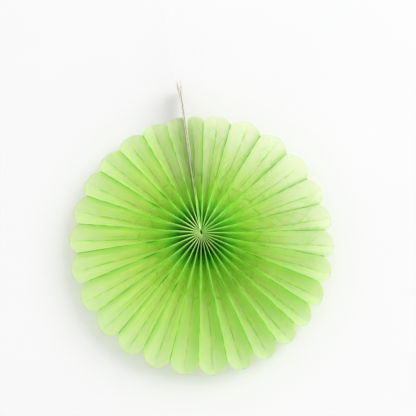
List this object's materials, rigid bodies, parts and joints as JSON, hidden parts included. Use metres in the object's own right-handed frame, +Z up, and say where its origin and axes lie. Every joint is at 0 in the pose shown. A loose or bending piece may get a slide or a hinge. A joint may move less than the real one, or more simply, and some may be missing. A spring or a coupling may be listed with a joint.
{
  "type": "paper fan rosette",
  "caption": "Round party fan folded from one translucent green tissue sheet, with scalloped rim, two card end strips at the seam and a thread loop to hang it by",
  "frame": {"origin": "top of the hanging thread's loop, where a hook carries it", "axes": "+Z is up as it hangs, along the seam; the fan faces -Y with its hub nearest to the viewer; +X is to the viewer's right"},
  "size_m": [0.299, 0.0395, 0.4656],
  "materials": {
    "tissue_paper": "matt, translucent",
    "card": "matt",
    "thread": "spun, matt"
  },
  "bodies": {
    "root": {"pleated_paper": "tissue_paper", "left_card": "card", "right_card": "card", "hanging_thread": "thread", "thread_knot": "thread"}
  },
  "joints": []
}
